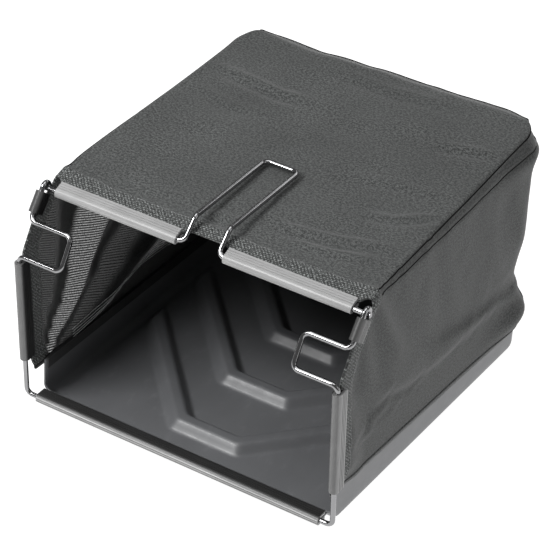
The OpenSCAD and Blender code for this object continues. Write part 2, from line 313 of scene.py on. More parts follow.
def hem_material(name, colour):
    """Coarse basket weave with light speckles."""
    s = Shader(name, Roughness=0.82, Specular_IOR_Level=0.3, Sheen_Weight=0.15)
    coord = s.uv()
    basket = s.math("MULTIPLY", s.wave(coord, (0.7, 0.7), 3.1 * MM), s.wave(coord, (0.7, -0.7), 2.7 * MM))
    grain = s.noise(coord, 430.0, 3.0, 0.8)
    speck = s.math("ADD", s.math("MULTIPLY", basket, 0.16), s.math("MULTIPLY", grain, 0.96))
    s.set("Base Color", s.ramp(speck, (0.42, [c * 0.25 for c in colour]),
                               (0.55, colour), (0.68, [c * 4.5 for c in colour])))
    s.bump(speck, 0.7 * MM, 0.8)
    return s.material


def tray_material(name):
    """Moulded plastic: fine grain, faint flow marks and scuffs, soft sheen."""
    s = Shader(name, Roughness=0.42, Specular_IOR_Level=0.75)
    coord = s.place()
    grain = s.noise(coord, 1500.0, 2.0)
    flow = s.noise(s.stretched(coord, (9, 3, 6)), 1.0, 4.0)
    scuff = s.noise(s.stretched(coord, (90, 40, 60)), 1.0, 4.0, 0.65)
    tone = s.blend(flow, (0.100, 0.102, 0.107, 1), (0.180, 0.184, 0.192, 1))
    s.set("Base Color", s.blend(s.ramp(scuff, (0.56, 0.0), (0.8, 0.3)), tone, (0.25, 0.252, 0.26, 1)))
    wear = s.math("ADD", s.math("MULTIPLY", scuff, 0.6), s.math("MULTIPLY", flow, 0.4))
    s.set("Roughness", s.ramp(wear, (0.3, 0.34), (0.75, 0.52)))
    s.bump(grain, 0.12 * MM, 0.5)
    s.bump(flow, 1.2 * MM, 0.25)
    return s.material


def clip_material(name, along, across, levels, low, high, contrast=0.16):
    """Extruded satin plastic: fine lines along its length, with painted highlight and shade bands given by
    levels from low to high across it.
    """
    s = Shader(name, Specular_IOR_Level=0.5)
    coord = s.place()
    lines = s.noise(s.stretched(coord, along), 1.0, 3.0, 0.7)
    patch = s.noise(coord, 30.0, 2.0)
    far = s.math("ABSOLUTE", s.node("VectorMath", coord, across, operation="DOT_PRODUCT").outputs["Value"])
    spot = s.math("DIVIDE", s.math("SUBTRACT", far, low), high - low)
    # painted highlight and shade across the profile, standing in for how light falls on its nose and legs
    tone = s.ramp(spot, *levels)
    tone = s.blend(1.0, tone, s.ramp(lines, (0.36, 1 - contrast), (0.64, 1 + contrast)), "MULTIPLY")
    s.set("Base Color", s.blend(1.0, tone, s.ramp(patch, (0.3, 0.93), (0.7, 1.05)), "MULTIPLY"))
    s.set("Roughness", s.ramp(lines, (0.3, 0.3), (0.7, 0.44)))
    s.bump(lines, 0.15 * MM, 0.5)
    return s.material


def wire_material(name):
    """Dark bright plating with faint drawing marks."""
    s = Shader(name, Metallic=1.0, Roughness=0.14)
    coord = s.place()
    cloud = s.noise(coord, 45.0, 3.0)
    s.set("Base Color", s.blend(cloud, (0.24, 0.24, 0.245, 1), (0.33, 0.33, 0.335, 1)))
    s.set("Roughness", s.ramp(s.noise(coord, 210.0, 3.0), (0.3, 0.09), (0.7, 0.2)))
    s.bump(s.noise(coord, 600.0, 2.0), 0.05 * MM, 0.3)
    return s.material


def thread_material(name, colour):
    """Twisted sewing thread."""
    s = Shader(name, Roughness=0.85, Specular_IOR_Level=0.15)
    twist = s.noise(s.place(), 2400.0, 1.0)
    s.set("Base Color", s.ramp(twist, (0.3, [c * 0.6 for c in colour]), (0.7, [c * 1.4 for c in colour])))
    s.bump(twist, 0.15 * MM, 0.6)
    return s.material


CLOTH = (0.062, 0.065, 0.064)
roof_cloth = cloth_material("roof_cloth", CLOTH, 1.5 * MM)
# painted shade: the side and back panels are darker copies of the same cloth
shaded_side_cloth = cloth_material("shaded_side_cloth", [c * 0.7 for c in CLOTH], 1.5 * MM)
sheer_cloth = cloth_material("sheer_cloth", CLOTH, 2.0 * MM, sheer=0.62)
shaded_back_cloth = cloth_material("shaded_back_cloth", [c * 0.9 for c in CLOTH], 1.5 * MM)
hem_cloth = hem_material("hem_cloth", CLOTH)
tape_cloth = cloth_material("tape_cloth", CLOTH, 1.2 * MM)
tray_plastic = tray_material("tray_plastic")

# a clip's painted highlight and shade bands run over the height of a level one, or out from the centre line
# on an upright one: painted shade on the inner legs, a painted highlight at the outer edge, darker on the
# upper clips
UPRIGHT = ((1400, 1400, 12), (1, 0, 0))
POST_SPAN = (POST_X - 6 * MM, POST_X + 6 * MM)
clip_top = clip_material("clip_top", (12, 1400, 1400), (0, 0, 1),
                         [(0.14, 0.03), (0.22, 0.6), (0.32, 0.30), (1, 0.29)],
                         TOP_Z - 8 * MM, TOP_Z + 10 * MM)
clip_bottom = clip_material("clip_bottom", (12, 900, 900), (0, 0, 1),
                            [(0.0, 0.22), (0.3, 0.26), (0.38, 0.04), (0.46, 0.3), (0.56, 0.34), (0.62, 0.04),
                             (0.7, 0.6), (0.78, 0.28), (0.88, 0.025)],
                            RAIL_Z - 6 * MM, RAIL_Z + 6 * MM, 0.2)
clip_lower = clip_material("clip_lower", *UPRIGHT,
                           [(0.05, 0.012), (0.16, 0.13), (0.8, 0.12), (0.94, 0.24)], *POST_SPAN)
clip_upper = clip_material("clip_upper", *UPRIGHT,
                           [(0.05, 0.012), (0.16, 0.05), (0.7, 0.05), (0.94, 0.14)], *POST_SPAN)
strip_plastic = clip_material("strip_plastic", (40, 12, 1400), (0, 0, 1), [(0, 0.03), (1, 0.035)], 0, 0.1)
dark_wire = wire_material("dark_wire")
# seam thread: real stitching, made near-black as painted shade of the seam's groove
dark_thread_and_groove_shade = thread_material("dark_thread_and_groove_shade", (0.004, 0.004, 0.004))
# fold thread: a stitch line, made dark as painted shade of the fold's crease
fold_thread_and_crease_shade = thread_material("fold_thread_and_crease_shade", (0.016, 0.0165, 0.016))
light_thread = thread_material("light_thread", (0.65, 0.655, 0.65))


# ------------------------------------------------------------------ a box shell: a lid and three walls
class BoxShell:
    """A grid lid whose left, back and right edges run on into walls. place(i, j, w) gives each point."""

    def __init__(self, nu, nv, nw, place, first=0):
        self.nu, self.nv, self.nw = nu, nv, nw
        self.edge = [(0, j) for j in range(first, nv + 1)]
        self.left_end = len(self.edge) - 1
        self.edge += [(i, nv) for i in range(1, nu)]
        self.edge += [(nu, j) for j in range(nv, first - 1, -1)]
        self.right_start = len(self.edge) - 1 - (nv - first)
        self.points = [place(i, j, 0) for j in range(nv + 1) for i in range(nu + 1)]
        for w in range(1, nw + 1):
            self.points += [place(i, j, w) for i, j in self.edge]

    def lid(self, i, j):
        return j * (self.nu + 1) + i

    def wall(self, c, w):
        if w == 0:
            return self.lid(*self.edge[c])
        return (self.nu + 1) * (self.nv + 1) + (w - 1) * len(self.edge) + c

    def lid_faces(self, rows=None, columns=None):
        rows = rows or range(self.nv)
        columns = columns or range(self.nu)
        return [[self.lid(i, j), self.lid(i + 1, j), self.lid(i + 1, j + 1), self.lid(i, j + 1)]
                for j in rows for i in columns]

    def wall_faces(self, columns, rows=None):
        rows = rows or range(self.nw)
        return [[self.wall(c, w), self.wall(c + 1, w), self.wall(c + 1, w + 1), self.wall(c, w + 1)]
                for c in columns for w in rows]

    def faces(self):
        return self.lid_faces() + self.wall_faces(range(len(self.edge) - 1))

    def left(self):
        return range(self.left_end)

    def back(self):
        return range(self.left_end, self.right_start)

    def right(self):
        return range(self.right_start, len(self.edge) - 1)


def patch(name, points, faces, plane, lift=0.0, normals=None):
    """A piece cut from a shell's faces, raised off it by lift along the shell's normals."""
    used = sorted({v for f in faces for v in f})
    new = {v: k for k, v in enumerate(used)}
    spots = [points[v] + (normals[v] * lift if normals else Vector()) for v in used]
    return mesh_object(name, spots, [[new[v] for v in f] for f in faces], plane)


def shell_normals(shell):
    """Normals of a shell's points, outward from the middle of the bag."""
    sums = [Vector() for _ in shell.points]
    for f in shell.faces():
        a, b, c, d = (shell.points[v] for v in f)
        n = (c - a).cross(d - b)
        for v in f:
            sums[v] += n
    normals = [n.normalized() if n.length else Vector((0, 0, 1)) for n in sums]
    if sum((p - BAG_MIDDLE).dot(n) for p, n in zip(shell.points, normals)) < 0:
        normals = [-n for n in normals]
    return normals


def round_corner(x, y, half, back, r):
    """A point of a rectangle, carried to the same rectangle with two round back corners."""
    p = abs(x) - (half - r)
    q = y - (back - r)
    if p <= 0 or q <= 0:
        return x, y
    u, v = min(p / r, 1.0), min(q / r, 1.0)
    p, q = r * u * math.sqrt(1 - v * v / 2), r * v * math.sqrt(1 - u * u / 2)
    return math.copysign(half - r + p, x), back - r + q


# ------------------------------------------------------------------ the tray
RIBS = 3
RIB_FRONT = -185 * MM
RIB_PITCH = 106 * MM
RIB_W = 34 * MM
RIB_H = 12 * MM
RIB_HALF = 46 * MM
RIB_ANGLE = math.radians(42)
FILLET = 9 * MM


def soft_min(a, b, k):
    """The smaller of a and b, rounded over where they are within k of each other."""
    h = max(k - abs(a - b), 0.0) / k
    return min(a, b) - h * h * k / 4


def slope(k):
    """A straight slope from 0 to 1 with slightly rounded ends."""
    k = min(max(k, 0.0), 1.0)
    return mix(k, smooth(k), 0.35)


def rib_height(x, y):
    """Height of the three nested half-octagon ribs above the floor."""
    high = 0.0
    for k in range(RIBS):
        behind = y - (RIB_FRONT + k * RIB_PITCH)
        arm = behind * math.sin(RIB_ANGLE) - (abs(x) - RIB_HALF) * math.cos(RIB_ANGLE)
        s = soft_min(behind, arm, 4 * MM)
        rise = slope(s / (11 * MM))
        fall = slope((RIB_W - s) / (12 * MM))
        high = max(high, min(rise, fall))
    return RIB_H * high


def tray_half(y):
    """The tray's half width outside."""
    return knots(y, (WALL_FRONT, HALF_FRONT), (TRAY_BACK - TRAY_CORNER, HALF_BACK))


def wall_top(y):
    """Height of the tray's walls."""
    return mix(58 * MM, 45 * MM, min(max((y - WALL_FRONT) / (TRAY_BACK - WALL_FRONT), 0), 1))


LIP_END = -224 * MM
LIP_HALF = 189 * MM
LIP_ROWS = [                                     # the lip, then the ramp down to the floor: Y and Z
    (RAIL_Y + 5 * MM, 18.9 * MM),
    (-229 * MM, 18.9 * MM),
    (LIP_END, 18.9 * MM),
    (-221 * MM, 17.8 * MM),
    (-217 * MM, 13.6 * MM),
    (-212 * MM, 8.0 * MM),
    (-208.5 * MM, 4.6 * MM),
]
FLOOR_ROWS = 160
FLOOR_COLS = 150
WALL_ROWS = 13
WALL_START = 3                                   # the side walls start behind the lip, at this row
BEND_ROWS = 6                                    # wall rows in the rounded foot
FLOOR_BACK = TRAY_BACK - TRAY_T - FILLET         # the flat floor's back edge
FLOOR_CORNER = TRAY_CORNER - TRAY_T - FILLET     # and the radius of its back corners


def floor_half(y):
    """The floor's half width, which narrows to the lip's at the front."""
    return mix(tray_half(y) - TRAY_T - FILLET, LIP_HALF, 1 - smooth((y - LIP_END) / (4 * MM)))


def wall_direction(x, y, half, across, rear):
    """Which way the wall stands out from a point (x, y) of the floor's edge."""
    side = abs(across) > 0.999
    in_corner = side and (rear or abs(across * half - x) > 1e-6)
    if in_corner or rear and abs(across * half) > half - FLOOR_CORNER:
        out = Vector((x - math.copysign(half - FLOOR_CORNER, x), y - (FLOOR_BACK - FLOOR_CORNER), 0))
    else:
        out = Vector((math.copysign(1, across) if side else 0, 1 if rear else 0, 0))
    return out.normalized()


def tray_point(i, j, w):
    """A point of the tray's inside. Row w of a wall stands above the floor's point (i, j)."""
    across = i / FLOOR_COLS * 2 - 1
    lip = len(LIP_ROWS)
    if j < lip:
        y, z = LIP_ROWS[j]
    else:
        y, z = mix(TRAY_FRONT, FLOOR_BACK, (j - lip) / (FLOOR_ROWS - lip)), FLOOR_Z
    half = floor_half(y)
    x, y = round_corner(across * half, y, half, FLOOR_BACK, FLOOR_CORNER)
    if j >= lip:
        inside = min(half - abs(x), FLOOR_BACK - y)
        z += rib_height(x, y) * smooth((y - TRAY_FRONT) / (8 * MM)) * smooth(inside / (13 * MM))
    if w == 0:
        return Vector((x, y, z))
    turn = min(w / BEND_ROWS, 1) * math.pi / 2
    out = wall_direction(x, y, half, across, j == FLOOR_ROWS)
    spot = Vector((x, y, z)) + out * FILLET * math.sin(turn)
    base = z + FILLET * (1 - math.cos(turn))
    if w > BEND_ROWS:
        base = mix(z + FILLET, wall_top(y), (w - BEND_ROWS) / (WALL_ROWS - BEND_ROWS))
    return Vector((spot.x, spot.y, base))


def build_tray():
    shell = BoxShell(FLOOR_COLS, FLOOR_ROWS, WALL_ROWS, tray_point, first=WALL_START)
    obj = mesh_object("tray_moulding", shell.points, shell.faces())
    fix_normals(obj, outward=False)
    modifier(obj, "SOLIDIFY", thickness=TRAY_T, offset=-1, use_even_offset=True)
    modifier(obj, "BEVEL", width=0.7 * MM, segments=2, limit_method="ANGLE", angle_limit=math.radians(50))
    return finish_piece(obj, tray_plastic, ["tray"])


def fix_normals(obj, outward=True):
    """Turns all faces the same way: outward from the middle of the bag, or inward."""
    mesh = bmesh.new()
    mesh.from_mesh(obj.data)
    bmesh.ops.recalc_face_normals(mesh, faces=mesh.faces)
    facing = sum((f.calc_center_median() - BAG_MIDDLE).dot(f.normal) * f.calc_area() for f in mesh.faces)
    if (facing > 0) != outward:
        bmesh.ops.reverse_faces(mesh, faces=mesh.faces)
    mesh.to_mesh(obj.data)
    mesh.free()


# ------------------------------------------------------------------ the bag's shape
HEM_ROWS = 6
BAG_COLS = [-1, -0.987, -0.965] + spaced(-0.93, 0.93, 58) + [0.965, 0.987, 1]
BAG_ROWS = HEM_ROWS + 60
DROPS = [0, 2.5, 5, 8, 11, 14, 17, 20, 24, 29, 35]          # first wall rows, mm below the seam
BAG_DEEP = len(DROPS) - 1 + 34
CORNER_R = 50 * MM
CLOTH_T = 0.7 * MM


def tilted(d):
    """Point d behind the top rail, in the plane of the top clips."""
    return TOP_Y + d * math.cos(TOP_TILT), TOP_Z + d * math.sin(TOP_TILT)


def hem_start(x):
    """How far behind the top rail the cloth starts: in the clips, at the handle and at the corners."""
    far = abs(x)
    notch = 1 - smooth((far - (CLIP_GAP - 5 * MM)) / (5 * MM))
    corner = smooth((far - (CLIP_END - 2 * MM)) / (7 * MM))
    return (6.5 + 8.5 * notch + 10.5 * corner) * MM


def roof_z(x, y):
    """Height of the bag's top behind the hem."""
    k = (y - tilted(HEM_BACK)[0]) / (BAG_BACK - tilted(HEM_BACK)[0])
    start = tilted(HEM_BACK)[1]
    left = start + 10.5 * MM * (1 - math.exp(-k * 8.5))
    right = start + 20 * MM * max(k, 0) ** 1.2
    side = smooth((x / BAG_HALF + 1) / 2)
    z = mix(left, right, side) + 1.5 * MM * (1 - (x / BAG_HALF) ** 2) * smooth(k * 4)
    z -= 4.6 * MM * bell(x, 0, 62 * MM) * smooth(k * 5) * (1 - smooth((k - 0.28) / 0.3))
    z += 3 * MM * smooth((k - 0.5) / 0.4)
    z -= 7 * MM * smooth((y - (BAG_BACK - 20 * MM)) / (20 * MM)) ** 1.5
    return z


def edge_half(y):
    """Top seam from the centre line: a little wider at the hem."""
    return BAG_HALF + 4.5 * MM * math.exp(-max(y - TOP_Y, 0) / (22 * MM))


def front_y(z):
    """The side cloth's front edge, behind the posts and round the top rail's end."""
    lean = (LOOP_LOW.y - RAIL_Y) / (LOOP_LOW.z - RAIL_Z)
    return knots(z,
                 (RAIL_Z, RAIL_Y + 5.5 * MM),
                 (LOOP_LOW.z, RAIL_Y + lean * (LOOP_LOW.z - RAIL_Z) + 5.5 * MM),
                 (LOOP_HIGH.z, LOOP_HIGH.y + 5.5 * MM),
                 (TOP_Z - 12 * MM, TOP_Y - 5 * MM),
                 (TOP_Z, TOP_Y + 11.5 * MM),
                 (TOP_Z + 8 * MM, TOP_Y + 15 * MM))


def low_edge(y):
    """Height of the bag's lower edge."""
    return knots(y, (RAIL_Y, 52 * MM), (-20 * MM, 43 * MM), (150 * MM, 36.5 * MM), (BAG_BACK, 31 * MM))


def at_corner(x, y, reach):
    """1 at the bag's two back corners, fading out over reach."""
    away = math.hypot(max(BAG_HALF - 16 * MM - abs(x), 0), max(BAG_BACK - 16 * MM - y, 0))
    return math.exp(-(away / reach) ** 2)


FAN_Y = -214 * MM                                # where the left panel's pleats fan out from
FAN_Z = 38 * MM


def pleat_depth(y, z):
    """Fan of soft pleats in the left panel, from its lower front corner up to the top rail."""
    dy, dz = y - FAN_Y, z - FAN_Z
    far = math.hypot(dy, dz)
    angle = math.degrees(math.atan2(dz, dy))
    wave = knots(angle, (4, 0.0), (12, 0.1), (19, 0.9), (27, 0.55), (38, 0.0), (45, 0.12), (52, 1.0),
                 (60, 0.75), (72, 0.15), (79, 0.1), (84, 0.55), (92, 0.0))
    grow = smooth((far - 15 * MM) / (110 * MM))
    ends = smooth((TOP_Z - 2 * MM - z) / (45 * MM)) * smooth((110 * MM - y) / (130 * MM))
    return wave * grow * ends


def arch_z(y):
    """Height of the stitched lines that arch over the tray's left wall."""
    return knots(y, (-205 * MM, 46 * MM), (-175 * MM, 55.5 * MM), (-118 * MM, 69.7 * MM),
                 (-63 * MM, 78.6 * MM), (-21 * MM, 79.6 * MM), (51 * MM, 73.1 * MM), (130 * MM, 62 * MM))


def closed_weave_and_shade(y, z):
    """How closed the left panel's sheer cloth is, and how much painted shade it gets: 1 where pleats lie
    double and below the stitched arch, low on their bright backs.
    """
    # painted shadow: below the stitched arch the panel counts as fully closed and gets the darkest painted
    # shade
    if z < arch_z(y):
        return 1.0
    angle = math.degrees(math.atan2(z - FAN_Z, y - FAN_Y))
    return knots(angle, (8, 0.75), (14, 0.75), (17, 1.0), (22, 1.0), (27, 0.84), (36, 0.8), (41, 1.0),
                 (50, 1.0), (55, 0.2), (66, 0.1), (71, 1.0), (77, 1.0), (82, 0.8))


def plan_normal(x, y):
    """Outward direction of the bag's plan at a point of the top seam."""
    p = abs(x) - (BAG_HALF - CORNER_R)
    q = y - (BAG_BACK - CORNER_R)
    if p > 0 and q > 0:
        return Vector((math.copysign(p, x), q, 0)).normalized()
    return Vector((0, 1, 0)) if y > BAG_BACK - 1 * MM else Vector((math.copysign(1, x), 0, 0))


def wall_offset(start, n, fall, drop, z):
    """How far out of the top seam the wall stands, fall below it."""
    strip = strip_depth(start.y)
    side_foot = tray_half(start.y) + FOOT_GAP - BAG_HALF
    back_foot = TRAY_BACK + FOOT_GAP - BAG_BACK
    foot = n.x ** 2 * side_foot + n.y ** 2 * back_foot
    bevel = 4.2 * MM * n.x ** 2
    out = bevel * smooth(fall / strip) - 1.3 * MM * n.x ** 2 * bell(fall, strip, 2.4 * MM)
    out = mix(out, foot, smooth((drop - 0.08) / 0.92))
    out += 2.5 * MM * math.sin(math.pi * drop) * smooth((start.y - TOP_Y) / (90 * MM))
    bulge = 3.5 * MM + 7 * MM * bell(fall, 24 * MM, 17 * MM) - 7 * MM * bell(z, 112 * MM, 38 * MM)
    flare = 9 * MM * bell(z, 60 * MM, 16 * MM) - 3.5 * MM * smooth((45 * MM - z) / (12 * MM))
    out += at_corner(start.x, start.y, 62 * MM) * (bulge + flare) * min(drop * 12, 1)
    return out + 7 * MM * (2 * n.x * n.y) ** 2 * smooth((drop - 0.45) / 0.55)


def roof_point(i, j):
    """A point of the bag's top: the hem in the plane of the top clips, then the roof."""
    across = BAG_COLS[i]
    if j <= HEM_ROWS:
        y, z = tilted(mix(hem_start(across * BAG_HALF), HEM_BACK, j / HEM_ROWS))
        x = across * edge_half(y)
        return Vector((x, y, z + 1.6 * MM * smooth((abs(x) - CLIP_END) / (10 * MM))))
    y = mix(tilted(HEM_BACK)[0], BAG_BACK, (j - HEM_ROWS) / (BAG_ROWS - HEM_ROWS))
    half = edge_half(y)
    x, y = round_corner(across * half, y, half, BAG_BACK, CORNER_R)
    puff = 5 * MM * at_corner(x, y, 34 * MM) * (x < 0)
    return Vector((x, y, roof_z(x, y) + puff))


def side_wall_point(start, out_x, j, z, drop, fall):
    """A side wall's point. Its front edge follows the post, and its rows shear back to the corner."""
    seam_front = tilted(hem_start(BAG_HALF))[0]
    seam_rear = tilted(HEM_BACK)[0]
    hem_edge = front_y(z)
    hem_rear = hem_edge + (HEM_BACK - 5.5 * MM) * (1 - 0.35 * smooth((z - LOOP_HIGH.z) / (30 * MM)))
    corner_y = BAG_BACK - CORNER_R
    if j <= HEM_ROWS:
        y = mix(hem_edge, hem_rear, (start.y - seam_front) / (seam_rear - seam_front))
    else:
        y = mix(hem_rear, corner_y, (start.y - seam_rear) / (corner_y - seam_rear))
    y = mix(start.y, y, smooth(fall / (22 * MM)))
    z = mix(start.z, low_edge(y), drop)
    near_post = 1 - smooth((y - hem_rear) / (45 * MM))
    x = mix(abs(out_x), POST_X - 0.3 * MM, near_post * smooth(drop * 9))
    x = mix(x, tray_half(y) + FOOT_GAP, smooth((drop - 0.88) / 0.12) * near_post)
    if start.x < 0:
        x -= 15 * MM * pleat_depth(y, z) * (1 - near_post * 0.75)
    return Vector((math.copysign(x, start.x), y, z))


def bag_point(i, j, w):
    """A point of the bag before it settles. Row w of a wall hangs below the seam's point (i, j)."""
    start = roof_point(i, j)
    if w == 0:
        return start
    n = plan_normal(start.x, start.y)
    total = start.z - low_edge(start.y)
    deep = (w - len(DROPS) + 1) / (BAG_DEEP - len(DROPS) + 1)
    last = DROPS[-1] * MM / total
    drop = DROPS[w] * MM / total if w < len(DROPS) else mix(last, 1, deep)
    z = mix(start.z, low_edge(start.y), drop)
    spot = start + n * wall_offset(start, n, drop * total, drop, z)
    if n.y > 0.01:
        return Vector((spot.x, spot.y, z))
    return side_wall_point(start, spot.x, j, z, drop, drop * total)


# ------------------------------------------------------------------ settling the cloth
CLOTH_PHYSICS = {
    "quality": 6,
    "mass": 0.2,
    "tension_stiffness": 30,
    "compression_stiffness": 20,
    "shear_stiffness": 12,
    "bending_stiffness": 0.9,
    "tension_damping": 12,
    "compression_damping": 12,
    "air_damping": 3,
    "shrink_min": -0.014,
    "vertex_group_mass": "hold",
    "pin_stiffness": 1.5,
}
LOOSE = 0.07                                     # only the roof's free points are held less than this


def simulate(obj, hold, frames):
    """Runs a cloth simulation and gives the points where it ends. No modifier stays."""
    group = obj.vertex_groups.new(name="hold")
    for v, weight in enumerate(hold):
        group.add([v], weight, "REPLACE")
    cloth = modifier(obj, "CLOTH")
    for key, value in CLOTH_PHYSICS.items():
        setattr(cloth.settings, key, value)
    cloth.collision_settings.use_collision = False
    cloth.collision_settings.use_self_collision = False
    cloth.point_cache.frame_start = 1
    cloth.point_cache.frame_end = frames
    scene = bpy.context.scene
    for f in range(1, frames + 1):
        scene.frame_set(f)
        bpy.context.view_layer.update()
    shape = obj.evaluated_get(bpy.context.evaluated_depsgraph_get())
    made = [v.co.copy() for v in shape.data.vertices]
    obj.modifiers.remove(cloth)
    obj.vertex_groups.remove(group)
    scene.frame_set(1)
    return made


def settle(obj, hold, frames, share, cap):
    """Simulates the bag and takes a share of each point's movement, up to cap, less the roof's mean sag."""
    made = simulate(obj, hold, frames)
    moves = [(p - v.co) * share for v, p in zip(obj.data.vertices, made)]
    moves = [m * min(1, cap / m.length) if m.length else m for m in moves]
    loose = [m.z for m, k in zip(moves, hold) if k < LOOSE]
    sunk = Vector((0, 0, sum(loose) / len(loose)))
    return [v.co + m - sunk * (k < LOOSE) * smooth((v.co.y - TOP_Y) / (90 * MM))
            for v, m, k in zip(obj.data.vertices, moves, hold)]


CREASES = [
    # soft folds of the top: points along each one, then height and width, all in mm
    ([(20, -112), (60, -132), (120, -121), (190, -96)], 3.2, 7),
    ([(70, -150), (120, -143), (186, -128)], 1.6, 6),
    ([(108, -66), (150, -52), (194, -14)], 2.4, 6),
    ([(40, -20), (110, 4), (190, 22)], 1.1, 7),
    ([(112, 98), (150, 110), (190, 120)], 2.4, 7),
    ([(-198, 110), (-140, 100), (-85, 93), (-30, 99)], 3.4, 8),
    ([(-196, 60), (-130, 40), (-60, 44)], 1.4, 8),
    ([(-120, -162), (-75, -150), (-38, -147)], 2.0, 6),
    ([(-26, -172), (-12, -151), (10, -152), (24, -166)], 3.0, 7),
    ([(-80, 178), (20, 170), (120, 180)], 2.0, 9),
]


def crease_height(x, y):
    """Height of the top's soft folds: each is a ridge with a valley on its front side, fading at its ends."""
    high = 0.0
    for line, tall, wide in CREASES:
        lengths = [math.dist(a, b) for a, b in zip(line, line[1:])]
        best, gone = (1e9, 0.0, 0.0), 0.0
        for (ax, ay), (bx, by), length in zip(line, line[1:], lengths):
            dx, dy = (bx - ax) / length, (by - ay) / length
            px, py = x / MM - ax, y / MM - ay
            t = min(max(px * dx + py * dy, 0.0), length)
            away = math.hypot(px - t * dx, py - t * dy)
            if away < best[0]:
                best = (away, math.copysign(away, py * dx - px * dy), gone + t)
            gone += length
        if best[0] < 4 * wide:
            ridge = bell(best[1], 0, wide) - 0.8 * bell(best[1], -1.5 * wide, wide)
            high += (tall * MM * ridge * smooth(best[2] / (0.3 * gone))
                     * smooth((gone - best[2]) / (0.3 * gone)))
    return high


def under_handle(p):
    """Presses the cloth down where the resting handle's wire lies over it."""
    near = WIRE_R + 5 * MM
    top = HANDLE_Z - WIRE_R - 0.7 * MM
    in_length = TOP_Y < p.y < HANDLE_END_Y + near
    on_leg = abs(abs(p.x) - HANDLE_X) < near
    on_end = abs(p.y - HANDLE_END_Y) < near and abs(p.x) < HANDLE_X + near
    if in_length and (on_leg or on_end) and p.z > top:
        p.z = top
    return p


def hold_weights(shell):
    """How firmly each point is held while it settles: the hems and the foot fast, the rest loosely."""
    nu = shell.nu
    hold = [1.0] * len(shell.points)
    for i in range(nu + 1):
        for j in range(HEM_ROWS - 1, BAG_ROWS + 1):
            hold[shell.lid(i, j)] = 0.5 if i in (0, nu) else 0.06
    for c, (i, j) in enumerate(shell.edge):
        if j >= HEM_ROWS - 1 or i not in (0, nu):
            for w in range(1, BAG_DEEP - 2):
                hold[shell.wall(c, w)] = mix(0.09, 0.8, smooth((w - BAG_DEEP + 12) / 9))
    return hold


def build_bag():
    """The bag's shell, with small unevenness, settled by the simulation and pressed down under the handle."""
    shell = BoxShell(len(BAG_COLS) - 1, BAG_ROWS, BAG_DEEP, bag_point)
    hold = hold_weights(shell)
    for v, p in enumerate(shell.points):
        grain = noise.noise(p * 24) + 0.5 * noise.noise(p * 55)
        if hold[v] < 0.4:
            p += Vector((0.6, 0.6, 1.0)) * grain * 1.2 * MM
    rough = mesh_object("bag_rough", shell.points, shell.faces())
    fix_normals(rough)
    shell.points = settle(rough, hold, frames=22, share=0.5, cap=4 * MM)
    bpy.data.objects.remove(rough)
    for v in range(shell.lid(0, HEM_ROWS), shell.lid(shell.nu, BAG_ROWS) + 1):
        under_handle(shell.points[v])
    return shell


def sheet_piece(name, shell, faces, plane, material, nodes, lift=0.0, thick=CLOTH_T):
    """A panel, hem or binding cut from the bag's shell, subdivided and given its thickness."""
    obj = patch(name, shell.points, faces, plane, lift, shell.normals)
    modifier(obj, "SUBSURF", levels=1, render_levels=1)
    modifier(obj, "SOLIDIFY", thickness=thick, offset=-1 if lift == 0 else 0)
    return finish_piece(obj, material, nodes)


def fold_roof(obj):
    """Fixes the roof's subdivision, then presses its soft folds into the fine mesh."""
    fine = bpy.data.meshes.new_from_object(obj.evaluated_get(bpy.context.evaluated_depsgraph_get()))
    obj.modifiers.clear()
    obj.data = fine
    for v in fine.vertices:
        edge = smooth((BAG_HALF - abs(v.co.x)) / (9 * MM)) * smooth((v.co.y - tilted(HEM_BACK)[0]) / (8 * MM))
        v.co.z += crease_height(v.co.x, v.co.y) * edge
        under_handle(v.co)


def sewn_line(name, path, radius, material, nodes=()):
    """A thread or a narrow fold along a path."""
    obj = mesh_object(name, *tube_rings(refine(path), radius))
    return finish_piece(obj, material, nodes)


def strip_depth(y):
    """How far below the top seam the fold along it is stitched down."""
    return mix(8 * MM, 17 * MM, smooth((y - TOP_Y) / (BAG_BACK - TOP_Y)))


def strip_point(shell, c):
    """Where the stitched fold crosses column c of the walls."""
    deep = strip_depth(shell.points[shell.wall(c, 0)].y) / MM
    w = max(k for k in range(len(DROPS) - 1) if DROPS[k] <= deep)
    k = (deep - DROPS[w]) / (DROPS[w + 1] - DROPS[w])
    a, b = shell.wall(c, w), shell.wall(c, w + 1)
    return mix(shell.points[a], shell.points[b], k) + mix(shell.normals[a], shell.normals[b], k) * 0.15 * MM


def cord_path(shell, columns, rise):
    """A line along the inside of the left panel, rise above the arch."""
    spots = [shell.points[shell.wall(c, w)] for c in columns for w in range(len(DROPS), BAG_DEEP + 1)]
    path = []
    for y in spaced(-165 * MM, 110 * MM, 42):
        z = arch_z(y) + rise
        near = sorted(spots, key=lambda p: (p.y - y) ** 2 + (p.z - z) ** 2)[:4]
        weights = [1 / (math.hypot(p.y - y, p.z - z) + 0.5 * MM) for p in near]
        x = sum(p.x * k for p, k in zip(near, weights)) / sum(weights)
        path.append(Vector((x + 1.7 * MM, y, z)))
    return path


def mark_folds_and_shade(obj):
    """Writes where the left panel's pleats lie double, for its sheer cloth's opacity and its painted fold
    shade.
    """
    closed = obj.data.attributes.new("closed", "FLOAT", "POINT")
    for v in obj.data.vertices:
        closed.data[v.index].value = closed_weave_and_shade(v.co.y, v.co.z)


ROOF_PLANE = (0, 1)                              # the two axes along which each panel lies flat
SIDE_PLANE = (1, 2)
BACK_PLANE = (0, 2)


